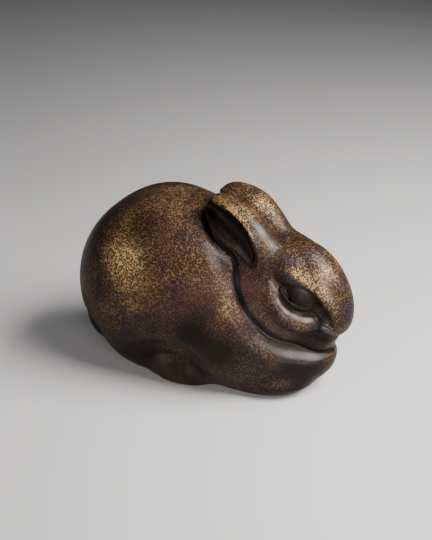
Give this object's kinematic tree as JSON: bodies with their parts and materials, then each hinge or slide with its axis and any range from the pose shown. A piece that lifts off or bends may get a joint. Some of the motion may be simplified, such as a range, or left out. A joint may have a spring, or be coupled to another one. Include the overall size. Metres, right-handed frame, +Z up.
{
  "type": "rabbit sculpture",
  "caption": "Small solid-looking cast bronze rabbit crouching with ears laid back, head sunk on its chest and feet tucked under, on a flat underside",
  "frame": {"origin": "bottom centre of the figure, on the surface it stands on", "axes": "+X to the nose, +Y to its left side, +Z up"},
  "size_m": [0.1254, 0.0722, 0.0846],
  "materials": {
    "bronze": "dark brown patina rubbed to gold on the high places"
  },
  "bodies": {
    "root": {"rabbit": "bronze"}
  },
  "joints": []
}
